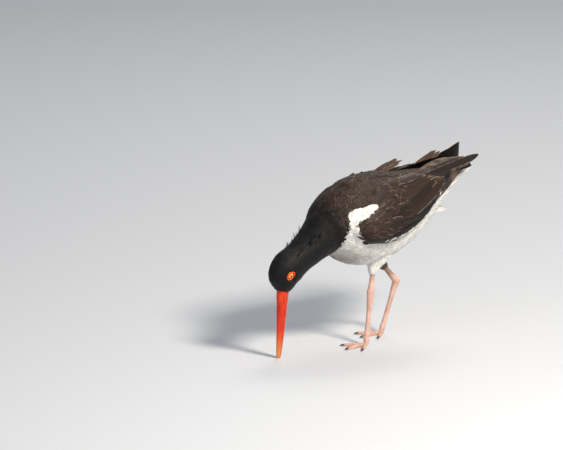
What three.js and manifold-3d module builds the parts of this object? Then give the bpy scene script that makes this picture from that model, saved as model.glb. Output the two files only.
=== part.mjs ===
// An American oystercatcher, life size, wading with its head down and the tip of its bill on the ground.
// Millimetres. +X is the bird's left, +Y runs back to the tail, +Z is up.
// The origin is the small flat at the tip of the bill, on the floor and in the bird's middle plane.
import * as THREE from "three";
import { mergeVertices } from "three/addons/utils/BufferGeometryUtils.js";
import Module from "manifold-3d";

const wasm = await Module();
wasm.setup();

// Driving dimensions
const GAP = 0.3; // clearance between neighbouring pieces
const BILL_LENGTH = 82; // exposed bill, from the feathers to the tip
const HEEL_HEIGHT = 62; // heel joints over the floor
const TOE_BASE_HEIGHT = 5.5;
const MIDDLE_TOE = 33; // without its claw
const EYE_RADIUS = 5.2;
// The right wing's tip is cocked up a little.
const WING_TIPS = {
  left: { bend: [20, 262, 196], tip: [19, 295.5, 205] },
  right: { bend: [-20, 260, 196], tip: [-19, 299, 213] },
};
const TAIL_TIP_Y = 288;
const FAR = 400; // half-space boxes reach past the whole bird

const COLOURS = {
  black: new THREE.MeshStandardMaterial({ color: 0x15130f, roughness: 0.75, metalness: 0 }),
  brown: new THREE.MeshStandardMaterial({ color: 0x3a2a20, roughness: 0.8, metalness: 0 }),
  white: new THREE.MeshStandardMaterial({ color: 0xe9e4da, roughness: 0.85, metalness: 0 }),
  bill: new THREE.MeshStandardMaterial({ color: 0xf0421a, roughness: 0.4, metalness: 0 }),
  iris: new THREE.MeshStandardMaterial({ color: 0xf6c21c, roughness: 0.1, metalness: 0 }),
  ring: new THREE.MeshStandardMaterial({ color: 0xe63a18, roughness: 0.45, metalness: 0 }),
  leg: new THREE.MeshStandardMaterial({ color: 0xe7bfa8, roughness: 0.55, metalness: 0 }),
  claw: new THREE.MeshStandardMaterial({ color: 0x2b2420, roughness: 0.4, metalness: 0 }),
};

const bird = new THREE.Group();
const vec = (x, y, z) => new THREE.Vector3(x, y, z);
const UP = vec(0, 0, 1);
const degrees = (angle) => (angle * Math.PI) / 180;
const mix = THREE.MathUtils.lerp;

// Solids and meshes

function toSolid(geometry) {
  const bare = new THREE.BufferGeometry();
  bare.setAttribute("position", geometry.getAttribute("position"));
  if (geometry.index) bare.setIndex(geometry.index);
  const merged = mergeVertices(bare, 1e-4);
  return new wasm.Manifold(
    new wasm.Mesh({
      numProp: 3,
      vertProperties: new Float32Array(merged.attributes.position.array),
      triVerts: new Uint32Array(merged.index.array),
    }),
  );
}

function unite(solids) {
  return solids.reduce((all, solid) => all.add(solid));
}

// The largest closed piece, without any scrap that a cut leaves.
function largest(solid) {
  return solid.decompose().reduce((a, b) => (b.volume() > a.volume() ? b : a));
}

function addNode(name, solid, material) {
  const mesh = largest(solid).getMesh();
  const geometry = new THREE.BufferGeometry();
  const positions = new Float32Array(mesh.numVert * 3);
  for (let i = 0; i < mesh.numVert; i++) {
    positions.set(mesh.vertProperties.subarray(i * mesh.numProp, i * mesh.numProp + 3), i * 3);
  }
  geometry.setAttribute("position", new THREE.BufferAttribute(positions, 3));
  geometry.setIndex(new THREE.BufferAttribute(new Uint32Array(mesh.triVerts), 1));
  const node = new THREE.Mesh(geometry, material);
  node.name = name;
  bird.add(node);
  return node;
}

// A closed skin through rings of points, with a fan at each end.
function loft(rings) {
  const count = rings[0].length;
  const points = rings.flat();
  const faces = [];
  for (let i = 0; i + 1 < rings.length; i++) {
    for (let k = 0; k < count; k++) {
      const a = i * count + k;
      const b = i * count + ((k + 1) % count);
      faces.push(a, b, b + count, a, b + count, a + count);
    }
  }
  const centre = (ring) => ring.reduce((sum, p) => sum.clone().add(p), vec(0, 0, 0)).divideScalar(count);
  const last = (rings.length - 1) * count;
  points.push(centre(rings[0]), centre(rings.at(-1)));
  for (let k = 0; k < count; k++) {
    const next = (k + 1) % count;
    faces.push(points.length - 2, next, k);
    faces.push(points.length - 1, last + k, last + next);
  }
  const geometry = new THREE.BufferGeometry();
  const places = points.flatMap((p) => [p.x, p.y, p.z]);
  geometry.setAttribute("position", new THREE.Float32BufferAttribute(places, 3));
  geometry.setIndex(faces);
  const solid = toSolid(geometry);
  if (solid.volume() > 0) return solid;
  geometry.setIndex(faces.flatMap((_, i) => (i % 3 ? [] : [faces[i], faces[i + 2], faces[i + 1]])));
  return toSolid(geometry);
}

// A body swept along stations of [centre, up radius, down radius, side radius, tilt of its upright].
// The tilt is in degrees. Angle 0 is the outer side and 90 degrees is up.
function sweep(stations, side = 1) {
  const spine = new THREE.CatmullRomCurve3(stations.map((s) => vec(s[0][0] * side, s[0][1], s[0][2])));
  const sizes = new THREE.CatmullRomCurve3(stations.map((s) => vec(s[1], s[2], s[3])));
  const tilts = new THREE.CatmullRomCurve3(stations.map((s) => vec(s[4] ?? 0, 0, 0)));
  const frame = (u) => {
    const along = spine.getTangent(u);
    const upright = vec(-side * Math.sin(degrees(tilts.getPoint(u).x)), 0, 1).normalize();
    const across = vec(0, 0, 0).crossVectors(along, upright).normalize();
    if (across.x * side < 0) across.negate();
    const up = vec(0, 0, 0).crossVectors(across, along).normalize();
    if (up.dot(upright) < 0) up.negate();
    return { across, up };
  };
  const point = (u, angle, grow = 0) => {
    const { across, up } = frame(u);
    const size = sizes.getPoint(u);
    const rise = Math.sin(degrees(angle));
    const tall = (rise > 0 ? size.x : size.y) + grow;
    const wide = Math.cos(degrees(angle)) * (size.z + grow);
    return spine.getPoint(u).addScaledVector(across, wide).addScaledVector(up, rise * tall);
  };
  const normal = (u, angle) => {
    const across = point(u, angle + 2).sub(point(u, angle - 2));
    const along = point(Math.min(1, u + 0.01), angle).sub(point(Math.max(0, u - 0.01), angle));
    const out = vec(0, 0, 0).crossVectors(across, along).normalize();
    return out.dot(point(u, angle).sub(spine.getPoint(u))) < 0 ? out.negate() : out;
  };
  const solid = (steps, sides, grow = 0, from = 0, to = 1) => {
    const rings = [];
    for (let i = 0; i <= steps; i++) {
      const ring = [];
      for (let k = 0; k < sides; k++) ring.push(point(mix(from, to, i / steps), (360 * k) / sides, grow));
      rings.push(ring);
    }
    return loft(rings);
  };
  return { point, normal, solid, spine };
}

function halfSpace(origin, direction) {
  const box = new THREE.BoxGeometry(2 * FAR, 2 * FAR, 2 * FAR);
  box.translate(0, 0, FAR);
  const turn = new THREE.Quaternion().setFromUnitVectors(UP, direction.clone().normalize());
  box.applyQuaternion(turn);
  box.translate(origin.x, origin.y, origin.z);
  return toSolid(box);
}

// The two sides of a thin plane cut.
function parted(solid, { origin, direction }, gap = GAP) {
  const step = direction.clone().multiplyScalar(gap / 2);
  return {
    ahead: solid.intersect(halfSpace(origin.clone().add(step), direction)),
    behind: solid.intersect(halfSpace(origin.clone().sub(step), direction.clone().negate())),
  };
}

// Feathers

const VANE_WIDTHS = [0.5, 0.95, 1, 0.4];
const VANE_PLACES = [0, 0.32, 0.78, 1];
const SHINGLE_ROLL = 5; // each vane is rolled a little, so that one edge lies over its neighbour

// One feather vane along a path of points, a thin plate whose two faces are split alike.
function vane(path, normals, width, thick = 0.7) {
  const rings = path.map((p, i) => {
    const ahead = path[Math.min(i + 1, path.length - 1)];
    const behind = path[Math.max(i - 1, 0)];
    const along = ahead.clone().sub(behind).normalize();
    const out = normals[i].clone().applyAxisAngle(along, degrees(SHINGLE_ROLL)).normalize();
    const across = vec(0, 0, 0).crossVectors(out, along).normalize();
    const half = (width / 2) * VANE_WIDTHS[i];
    const at = (w, h) => p.clone().addScaledVector(across, w).addScaledVector(out, h);
    return [at(half, thick / 2), at(-half, thick / 2), at(-half, -thick / 2), at(half, -thick / 2)];
  });
  return loft(rings);
}

// A vane that lies on a swept body from one place [u, angle] to another, its root sunk and its tip lifted.
function vaneOn(body, from, to, width, lift = 1.1, sink = 1.8) {
  const path = [];
  const normals = [];
  for (const t of VANE_PLACES) {
    const u = mix(from[0], to[0], t);
    const angle = mix(from[1], to[1], t);
    const out = body.normal(u, angle);
    const height = t === 0 ? -sink : mix(0.6, lift, t);
    path.push(body.point(u, angle).addScaledVector(out, height));
    normals.push(out);
  }
  return vane(path, normals, width);
}

// A free vane along a smooth line through points, facing the given way.
function vaneAlong(stops, facing, width, thick = 0.7) {
  const line = new THREE.CatmullRomCurve3(stops);
  const path = VANE_PLACES.map((t) => line.getPoint(t));
  const normals = VANE_PLACES.map(() => facing.clone().normalize());
  return vane(path, normals, width, thick);
}

// Torso: the breast, back, belly and rump in one swept body
const TORSO = [
  [[0, 56, 148], 6, 6, 8],
  [[0, 62, 148], 17, 20, 23],
  [[0, 74, 148.5], 31, 33, 34],
  [[0, 91, 149], 42.5, 45.5, 42],
  [[0, 112, 149], 49, 54, 45],
  [[0, 136, 149.5], 50, 56.5, 46],
  [[0, 161, 152], 49, 53, 43],
  [[0, 185, 157], 43, 46, 37],
  [[0, 207, 164.5], 34, 38, 30],
  [[0, 228, 173], 25, 28, 22],
  [[0, 248, 183], 15, 17, 15],
  [[0, 264, 190], 7, 8, 9],
];
const torso = sweep(TORSO);
const TORSO_STEPS = 18;
const TORSO_SIDES = 24;
const torsoGrown = torso.solid(TORSO_STEPS, TORSO_SIDES, GAP);

// Neck and head are one swept body, parted at the nape
const NECK_HEAD = [
  [[0, 102, 155], 26, 28, 30],
  [[0, 80, 146.5], 26, 28, 31],
  [[0, 62, 135], 22.5, 24, 25],
  [[0, 45, 124], 19, 19.5, 20],
  [[0, 28, 114.5], 18, 18.5, 17.5],
  [[0, 14, 105], 21, 20, 17.4],
  [[0, 9, 96], 20.5, 19, 16],
  [[0, 8, 87], 14.8, 13.8, 11.6],
  [[0, 7.4, 79.5], 8.4, 8, 6.4],
];
const neckHead = sweep(NECK_HEAD);
const NAPE = { origin: vec(0, 31, 119), direction: vec(0, -0.82, -0.57).normalize() };

// Bill: swept whole and parted along the mouth. The sweep runs down to the floor, dorsal side forward.
const BILL = [
  [[0, 7.2, BILL_LENGTH + 7], 6.4, 5.8, 4.4],
  [[0, 7, BILL_LENGTH], 8.3, 7.7, 6],
  [[0, 6.2, BILL_LENGTH - 10], 7.9, 7.4, 5.6],
  [[0, 5, BILL_LENGTH - 24], 6.8, 6.6, 4.7],
  [[0, 3.6, BILL_LENGTH - 42], 5.8, 5.8, 3.6],
  [[0, 2.1, 22], 5, 5.2, 2.6],
  [[0, 0.8, 8], 4.1, 4.3, 1.9],
  [[0, 0, -1.5], 2.7, 2.7, 1.3],
];
const bill = sweep(BILL);
const MOUTH = { origin: vec(0, 4.6, 40), direction: vec(0, 1, -0.085).normalize() };
const MOUTH_GAP = 0.7;

function makeHeadAndBill() {
  const whole = neckHead.solid(20, 20);
  const billGrown = bill.solid(14, 14, GAP);
  const sockets = unite([1, -1].map((side) => eyeSocket(side)));
  const { ahead, behind } = parted(whole, NAPE);
  addNode("neck", behind.subtract(torsoGrown), COLOURS.black);
  addNode("head", ahead.subtract(billGrown).subtract(sockets), COLOURS.black);
  const wholeBill = bill.solid(14, 14).intersect(halfSpace(vec(0, 0, 0), UP));
  const { ahead: lower, behind: upper } = parted(wholeBill, MOUTH, MOUTH_GAP);
  const nostrils = unite([1, -1].map((side) => nostril(side)));
  addNode("bill_upper", upper.subtract(nostrils), COLOURS.bill);
  addNode("bill_lower", lower, COLOURS.bill);
}

// A long slit nostril on each side of the upper bill
function nostril(side) {
  const slit = new THREE.SphereGeometry(1, 10, 6);
  slit.scale(1.1, 0.75, 6);
  slit.rotateX(-0.06);
  slit.translate(side * 5.3, 2.6, BILL_LENGTH - 13);
  return toSolid(slit);
}

// Eyes: a ball in a fleshy ring, set in a socket of the head and facing a little toward the bill
const EYE = { x: 11.5, y: 6.4, z: 101.4 };
const RING = { along: 6.9, across: 6.1, inner: 4.35, thick: 1.9, x: 14.9, y: 6.4, z: 99.8, slope: 24 };

function placeOnFace(geometry, side) {
  geometry.rotateY(degrees(side * RING.slope));
  geometry.translate(side * RING.x, RING.y, RING.z);
}

function eyeRing(side, grow = 0) {
  const inner = RING.inner;
  const outer = RING.across + grow;
  const half = RING.thick / 2 + grow;
  const profile = [
    [inner, -half],
    [outer - 0.3, -half],
    [outer, 0],
    [outer - 0.9, half * 0.75],
    [inner + 0.3, half],
    [inner, -half],
  ].map(([r, h]) => new THREE.Vector2(r, h));
  const ring = new THREE.LatheGeometry(profile, 16);
  ring.rotateZ(degrees(90));
  ring.scale(1, 1, RING.along / RING.across);
  placeOnFace(ring, side);
  const solid = toSolid(ring);
  return solid.volume() > 0 ? solid : flipped(ring);
}

function flipped(geometry) {
  const index = [...geometry.index.array];
  geometry.setIndex(index.flatMap((_, i) => (i % 3 ? [] : [index[i], index[i + 2], index[i + 1]])));
  return toSolid(geometry);
}

function eyeBall(side, grow = 0) {
  const ball = new THREE.SphereGeometry(EYE_RADIUS + grow, 16, 10);
  ball.translate(side * EYE.x, EYE.y, EYE.z);
  return toSolid(ball);
}

function eyeSocket(side) {
  const cup = new THREE.CylinderGeometry(RING.across + GAP, RING.across + GAP, 8, 16);
  cup.rotateZ(degrees(90));
  cup.scale(1, 1, RING.along / RING.across);
  cup.translate(side * (4 - RING.thick / 2 - GAP), 0, 0);
  placeOnFace(cup, side);
  return toSolid(cup).add(eyeBall(side, GAP));
}

function makeEyes() {
  for (const [word, side] of [["left", 1], ["right", -1]]) {
    addNode(`eye_${word}`, eyeBall(side), COLOURS.iris);
    addNode(`eye_ring_${word}`, eyeRing(side).subtract(eyeBall(side, GAP)), COLOURS.ring);
  }
}

// Legs: a feathered thigh, a bare shank with its heel joint, and three toes with claws
const LEGS = {
  left: {
    hip: [17, 150, 118],
    knee: [15, 134.5, 92],
    heel: [14, 131, HEEL_HEIGHT],
    foot: [18, 121, TOE_BASE_HEIGHT],
    turn: 6,
  },
  right: {
    hip: [-17, 156, 112],
    knee: [-14, 171, 88],
    heel: [-12.5, 194, HEEL_HEIGHT],
    foot: [-17, 176, TOE_BASE_HEIGHT],
    turn: -4,
  },
};
const TOES = [
  { name: "inner", spread: -36, length: 0.84, radius: 2.3 },
  { name: "middle", spread: 0, length: 1, radius: 2.5 },
  { name: "outer", spread: 34, length: 0.9, radius: 2.3 },
];
const CLAW_LENGTH = 6.5;

// A limb through points, each with a radius across and along the bird.
function limb(points, radii, steps, sides, grow = 0) {
  const spine = new THREE.CatmullRomCurve3(points.map((p) => vec(...p)));
  const sizes = new THREE.CatmullRomCurve3(radii.map((r) => vec(r[0], r[1], 0)));
  const rings = [];
  for (let i = 0; i <= steps; i++) {
    const t = i / steps;
    const along = spine.getTangent(t);
    const across = vec(0, 0, 0).crossVectors(along, vec(0, 1, 0.35)).normalize();
    const fore = vec(0, 0, 0).crossVectors(across, along).normalize();
    const size = sizes.getPoint(t);
    const ring = [];
    for (let k = 0; k < sides; k++) {
      const a = (2 * Math.PI * k) / sides;
      ring.push(
        spine
          .getPoint(t)
          .addScaledVector(across, Math.cos(a) * (size.x + grow))
          .addScaledVector(fore, Math.sin(a) * (size.y + grow)),
      );
    }
    rings.push(ring);
  }
  return loft(rings);
}

const between = (a, b, t) => a.map((v, i) => mix(v, b[i], t));

function shankSolid(leg, grow = 0) {
  const { knee, heel, foot } = leg;
  const points = [
    between(knee, heel, 0.12),
    between(knee, heel, 0.55),
    between(knee, heel, 0.86),
    heel,
    between(heel, foot, 0.14),
    between(heel, foot, 0.5),
    between(heel, foot, 0.85),
    foot,
  ];
  const radii = [[2.7, 3], [2.9, 3.3], [3.7, 4.2], [4.4, 4.9], [3.5, 4], [2.5, 3], [2.8, 3.2], [3.9, 4.2]];
  return limb(points, radii, 14, 10, grow);
}

function thighSolid(leg, grow = 0) {
  const points = [leg.hip, between(leg.hip, leg.knee, 0.55), leg.knee, between(leg.knee, leg.heel, 0.3)];
  return limb(points, [[14, 17], [10.5, 13], [6.6, 7.8], [3.9, 4.3]], 7, 12, grow);
}

// Local toe frame: the toe points forward, which is -Y, turned by the foot's and the toe's own angles.
function toePlace(side, leg, toe, reach, height) {
  const angle = degrees(leg.turn * side + toe.spread * side);
  return [leg.foot[0] + Math.sin(angle) * reach, leg.foot[1] - Math.cos(angle) * reach, height];
}

function toeSolid(side, leg, toe) {
  const length = MIDDLE_TOE * toe.length;
  const places = [0, 0.35, 0.5, 0.75, 1];
  const swell = [1.25, 0.95, 1.05, 0.85, 0.62];
  const heights = swell.map((s) => Math.max(1.3, toe.radius * s * 0.74));
  const spine = places.map((p, i) => toePlace(side, leg, toe, p * length, heights[i]));
  return limb(spine, swell.map((s) => [toe.radius * s, toe.radius * s]), 5, 8);
}

function clawSolid(side, leg, toe, grow = 0) {
  const start = MIDDLE_TOE * toe.length - 2.2;
  const places = [0, 0.4, 0.75, 1];
  const heights = [1.9, 2.1, 1.7, 0.95];
  const radii = [[1.15, 1.2], [1.1, 1.15], [0.8, 0.9], [0.3, 0.35]];
  const spine = places.map((p, i) => toePlace(side, leg, toe, start + p * CLAW_LENGTH, heights[i]));
  return limb(spine, radii, 4, 8, grow);
}

// A small web joins the outer and the middle toe at their root.
function webSolid(side, leg) {
  const corners = [
    toePlace(side, leg, TOES[1], 2, 0),
    toePlace(side, leg, TOES[1], 13, 0),
    toePlace(side, leg, { spread: 17 }, 9.5, 0),
    toePlace(side, leg, TOES[2], 12, 0),
    toePlace(side, leg, TOES[2], 2, 0),
  ].map((p) => new THREE.Vector2(p[0], p[1]));
  if (THREE.ShapeUtils.isClockWise(corners)) corners.reverse();
  return toSolid(new THREE.ExtrudeGeometry(new THREE.Shape(corners), { depth: 1.4, bevelEnabled: false }));
}

function makeLegs() {
  const aboveFloor = halfSpace(vec(0, 0, 0), UP);
  for (const [word, side] of [["left", 1], ["right", -1]]) {
    const leg = LEGS[word];
    const shank = shankSolid(leg);
    const claws = TOES.map((toe) => clawSolid(side, leg, toe));
    const clawsGrown = unite(TOES.map((toe) => clawSolid(side, leg, toe, GAP)));
    const ankle = new THREE.SphereGeometry(4.6, 10, 6);
    ankle.scale(1, 1.1, 0.9);
    ankle.translate(...leg.foot);
    const foot = unite([toSolid(ankle), webSolid(side, leg), ...TOES.map((toe) => toeSolid(side, leg, toe))])
      .intersect(aboveFloor)
      .subtract(clawsGrown)
      .subtract(halfSpace(vec(leg.foot[0], leg.foot[1], leg.foot[2] + 2.4), UP));
    const bare = shank.intersect(halfSpace(vec(leg.foot[0], leg.foot[1], leg.foot[2] + 2.4 + GAP), UP));
    const thigh = thighSolid(leg).subtract(torsoGrown).subtract(shankSolid(leg, GAP));
    addNode(`thigh_${word}`, thigh, COLOURS.white);
    addNode(`shank_${word}`, bare, COLOURS.leg);
    addNode(`foot_${word}`, foot, COLOURS.leg);
    for (const [i, toe] of TOES.entries()) {
      addNode(`claw_${word}_${toe.name}`, claws[i].intersect(aboveFloor), COLOURS.claw);
    }
  }
}

// Folded wings: a swept core that hugs the body, with its feathers in tiers
const WING = [
  [[34, 84, 146], 5, 6, 6, 6],
  [[37, 91, 147], 13, 13, 10, 8],
  [[39.5, 106, 150], 22, 23, 13, 13],
  [[39, 128, 155], 33, 28, 13, 18],
  [[36, 152, 159], 37, 28, 12, 20],
  [[33, 176, 164], 33, 24, 11, 24],
  [[28.5, 199, 172], 26.5, 19, 9.5, 28],
  [[24, 220, 181], 19, 13, 7, 32],
  [[21, 241, 190.5], 11, 8, 4.5, 32],
  [[19, 259, 197.5], 5, 4, 2.2, 30],
];

const LIFTED = [
  [[-19, 160, 188], [-14, 195, 208]],
  [[-18, 222, 190], [-14, 257, 210]],
];

function wingFeathers(wing, side) {
  const vanes = [];
  // A tier of feathers: the first and the last one's root and tip, as [u, angle], and its width and lift
  const tier = (count, [firstRoot, lastRoot], [firstTip, lastTip], width, lift) => {
    for (let i = 0; i < count; i++) {
      const from = between(firstRoot, lastRoot, i / (count - 1));
      const to = between(firstTip, lastTip, i / (count - 1));
      vanes.push(vaneOn(wing, from, to, width, lift));
    }
  };
  // Primaries: four blades, each a little longer than the one above it, past the end of the core.
  const { bend, tip } = WING_TIPS[side > 0 ? "left" : "right"];
  const blade = vec(side * 0.86, -0.1, 0.5).normalize();
  for (let i = 0; i < 4; i++) {
    const short = 3 - i;
    const root = wing.point(0.8, 6 - 14 * i).addScaledVector(blade, -1.4);
    const middle = vec(...bend).add(vec(0, -2 * short, 0.9 * short));
    const end = vec(...tip).add(vec(-side * 0.9 * short, -6.5 * short, 0.2 * short - 1.6));
    for (const stop of [middle, end]) stop.addScaledVector(blade, 0.55 * short);
    vanes.push(vaneAlong([root, middle, end], blade, 11));
  }
  // Secondaries along the lower edge
  tier(4, [[0.2, -62], [0.54, -48]], [[0.5, -68], [0.84, -42]], 18, 0.9);
  // Tertials over the rear of the wing, the lowest one longest
  for (let i = 0; i < 3; i++) {
    const root = wing.point(0.5 + 0.03 * i, 6 + 28 * i).addScaledVector(blade, -1.2);
    const middle = wing.point(0.74, 2 + 26 * i).addScaledVector(blade, side > 0 ? 2.6 : 1);
    const end = vec(...tip).add(vec(side * (3.4 - 1.2 * i), -12 - 8 * i, side > 0 ? 0 : -15));
    vanes.push(vaneAlong([root, middle, end.addScaledVector(blade, 1.6)], blade, 15));
  }
  // Greater and median coverts
  tier(5, [[0.15, -42], [0.46, 2]], [[0.38, -48], [0.7, -4]], 15, 1.2);
  tier(4, [[0.1, -18], [0.34, 32]], [[0.28, -24], [0.54, 28]], 15, 1.2);
  // Scapulars along the upper edge
  tier(4, [[0.22, 54], [0.5, 72]], [[0.42, 52], [0.71, 72]], 17, 1.8);
  // Feathers lifted by the wind on the far wing
  if (side < 0) {
    for (const stops of LIFTED) {
      vanes.push(vaneAlong(stops.map((p) => vec(...p)), vec(-0.7, -0.3, 0.6), 9));
    }
  }
  return vanes;
}

function makeWings() {
  for (const [word, side] of [["left", 1], ["right", -1]]) {
    const wing = sweep(WING, side);
    const inner = halfSpace(vec(side * 0.8, 0, 0), vec(side, 0, 0));
    const solid = unite([wing.solid(12, 12), ...wingFeathers(wing, side)]);
    addNode(`wing_${word}`, solid.intersect(inner).subtract(torsoGrown), COLOURS.brown);
  }
}

// Torso with the mantle feathers between the wings
function makeTorso() {
  const vanes = [];
  const rows = [0.26, 0.36, 0.46];
  for (const [i, u] of rows.entries()) {
    for (const angle of [81, 99]) {
      vanes.push(vaneOn(torso, [u, angle], [u + 0.15, angle], 13, 1.1 + 0.1 * i));
    }
  }
  return unite([torso.solid(TORSO_STEPS, TORSO_SIDES), ...vanes]);
}

// Tail: feathers in a shallow fan, the middle pair on top, on a short root
function makeTail() {
  const root = sweep([
    [[0, 236, 188], 4, 5, 9],
    [[0, 250, 191], 3.5, 4, 12],
    [[0, 262, 194], 1.6, 1.6, 12],
  ]);
  const vanes = [];
  for (let i = 0; i < 5; i++) {
    for (const side of [1, -1]) {
      const fan = degrees(2 + 2.8 * i) * side;
      const from = vec(side * (0.8 + 1.7 * i), 250, 191.8 - 0.25 * i + (side > 0 ? 0.1 : 0));
      const reach = TAIL_TIP_Y - 250 - 0.5 * i;
      const rise = 7.5 - 0.55 * i + (side > 0 ? 0.3 : 0);
      const to = from.clone().add(vec(Math.sin(fan) * reach, Math.cos(fan) * reach, rise));
      const facing = vec(side * 0.05 * i, -0.2, 1).normalize();
      vanes.push(vaneAlong([from, to], facing, 12.5));
    }
  }
  return unite([root.solid(4, 14), ...vanes]);
}

// The body is parted along its markings: black breast, brown back and white belly.
const BREAST_CUT = { origin: vec(0, 76, 130), direction: vec(0, -1, 0.15).normalize() };
const BACK_CUT = { origin: vec(0, 75, 165), direction: vec(0, -0.19, 1).normalize() };

function makeBody() {
  const { ahead: breast, behind: rest } = parted(makeTorso(), BREAST_CUT);
  const { ahead: back, behind: belly } = parted(rest, BACK_CUT);
  addNode("breast", breast, COLOURS.black);
  addNode("back", back, COLOURS.brown);
  addNode("belly", belly, COLOURS.white);
}

makeBody();
addNode("tail", makeTail().subtract(torsoGrown), COLOURS.black);
makeWings();
makeHeadAndBill();
makeEyes();
makeLegs();

export default bird;
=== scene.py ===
import itertools
import math

import bmesh
import bpy
import numpy as np
from mathutils import Matrix, Vector
from mathutils.bvhtree import BVHTree


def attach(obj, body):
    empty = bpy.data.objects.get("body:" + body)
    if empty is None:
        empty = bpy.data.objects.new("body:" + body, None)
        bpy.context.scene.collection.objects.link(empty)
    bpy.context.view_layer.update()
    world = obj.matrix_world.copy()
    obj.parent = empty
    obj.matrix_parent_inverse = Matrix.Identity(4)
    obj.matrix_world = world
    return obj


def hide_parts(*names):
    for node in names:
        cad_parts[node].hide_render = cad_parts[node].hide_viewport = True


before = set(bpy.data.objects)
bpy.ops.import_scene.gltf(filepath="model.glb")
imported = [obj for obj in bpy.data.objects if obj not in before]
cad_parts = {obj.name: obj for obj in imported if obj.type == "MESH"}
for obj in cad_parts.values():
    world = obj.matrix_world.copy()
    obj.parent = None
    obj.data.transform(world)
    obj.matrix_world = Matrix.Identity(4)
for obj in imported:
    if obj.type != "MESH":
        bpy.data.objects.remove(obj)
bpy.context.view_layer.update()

MM = 0.001

# Studio: a pale floor under an American oystercatcher, one warm high light from the right and soft fill.
# The view is the photograph's: from the bird's left and front, a little above, through a long lens.
VIEW_TURN = math.radians(49)
VIEW_RISE = math.radians(12.5)
VIEW_DISTANCE = 20.0
PICTURE_WIDTH = 563
MM_PER_PIXEL = 1.17
VIEW_WIDTH = PICTURE_WIDTH * MM_PER_PIXEL * MM
LOOK_RIGHT = 3.5 * MM
LOOK_UP = 155.6 * MM
SENSOR_WIDTH = 36
FLOOR_SIZE = 30
FLOOR_GREY = (0.62, 0.63, 0.65, 1)
SKY = (0.80, 0.88, 1.0, 1)
SKY_STRENGTH = 0.34
# The lights are aimed at the middle of the body
LIT_POINT = Vector((0, 0.13, 0.1))


def view_axes(turn, rise):
    right = Vector((math.cos(turn), math.sin(turn), 0))
    back = Vector((math.sin(turn) * math.cos(rise), -math.cos(turn) * math.cos(rise), math.sin(rise)))
    return right, back.cross(right), back


def aimed(right, up, back):
    return Matrix((right, up, back)).transposed().to_4x4()


right, up, back = view_axes(VIEW_TURN, VIEW_RISE)
lens = bpy.data.cameras.new("camera")
lens.sensor_width = SENSOR_WIDTH
lens.lens = SENSOR_WIDTH * VIEW_DISTANCE / VIEW_WIDTH
lens.clip_end = 100
camera = bpy.data.objects.new("camera", lens)
target = right * LOOK_RIGHT + up * LOOK_UP
camera.matrix_world = Matrix.Translation(target + back * VIEW_DISTANCE) @ aimed(right, up, back)
bpy.context.collection.objects.link(camera)
bpy.context.scene.camera = camera

bpy.ops.mesh.primitive_plane_add(size=FLOOR_SIZE)
floor = bpy.context.object
floor.name = "floor"
floor_paint = bpy.data.materials.new("floor")
floor_paint.use_nodes = True
floor_shader = floor_paint.node_tree.nodes["Principled BSDF"]
floor_shader.inputs["Base Color"].default_value = FLOOR_GREY
floor_shader.inputs["Roughness"].default_value = 0.9
floor.data.materials.append(floor_paint)

world = bpy.data.worlds.new("studio")
world.use_nodes = True
sky = world.node_tree.nodes["Background"]
sky.inputs["Color"].default_value = SKY
sky.inputs["Strength"].default_value = SKY_STRENGTH
bpy.context.scene.world = world
bpy.context.scene.view_settings.view_transform = "Standard"


def area_light(name, turn, rise, distance, size, power, colour):
    lamp = bpy.data.lights.new(name, "AREA")
    lamp.size = size
    lamp.energy = power
    lamp.color = colour
    light = bpy.data.objects.new(name, lamp)
    axes = view_axes(math.radians(turn), math.radians(rise))
    light.matrix_world = Matrix.Translation(LIT_POINT + axes[2] * distance) @ aimed(*axes)
    bpy.context.collection.objects.link(light)


area_light("key", turn=92, rise=43, distance=2.2, size=0.5, power=62, colour=(1.0, 0.94, 0.85))
area_light("fill", turn=20, rise=28, distance=2.4, size=1.6, power=6, colour=(0.86, 0.92, 1.0))
area_light("rim", turn=215, rise=48, distance=2.2, size=0.8, power=14, colour=(1.0, 0.95, 0.88))


# Skin: the flesh of head, neck, body and thighs in one piece, under the feathers.
# It is moulded from the solid body parts and the flesh of the folded wings, fused and smoothed, and its
# surface is then set to suit the depth of the coat.
FLESH = ("breast", "back", "belly", "neck", "head", "thigh_left", "thigh_right")
SIDES = {"left": 1, "right": -1}
SKIN_GRAIN = 1.3 * MM
# Solids are swollen this much so that neighbours fuse, and the skin is drawn in again by as much
SWELL = 0.35 * MM
# Folded wing, from its bend at the shoulder to its rear end: x, y, z, reach up, down and out, and tilt
WING = ((34, 84, 146, 5, 6, 6, 6), (37, 91, 147, 13, 13, 10, 8), (39.5, 106, 150, 22, 23, 13, 13),
        (39, 128, 155, 33, 28, 13, 18), (36, 152, 159, 37, 28, 12, 20), (33, 176, 164, 33, 24, 11, 24),
        (28.5, 199, 172, 26.5, 19, 9.5, 28), (24, 220, 181, 19, 13, 7, 32), (21, 241, 190.5, 11, 8, 4.5, 32),
        (19, 259, 197.5, 5, 4, 2.2, 30))
WING_STEPS = 60
WING_SIDES = 40
# The flesh of the wing lies this far inside it, under its feathers
WING_SINK = -1.2 * MM
# The body's middle line as y and z, from the face back to the tail
SPINE = np.array([(7.2, 76), (8.2, 87), (9.5, 96), (14.5, 105), (28, 114.5), (45, 124), (62, 135), (80, 146),
                  (112, 149), (136, 149.5), (161, 152), (185, 157), (207, 164.5), (228, 173), (264, 190),
                  (288, 199)]) * MM


def link_mesh(name, points, faces):
    mesh = bpy.data.meshes.new(name)
    mesh.from_pydata([tuple(p) for p in points], [], [tuple(f) for f in faces])
    mesh.validate()
    piece = bpy.data.objects.new(name, mesh)
    bpy.context.collection.objects.link(piece)
    return piece


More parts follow.
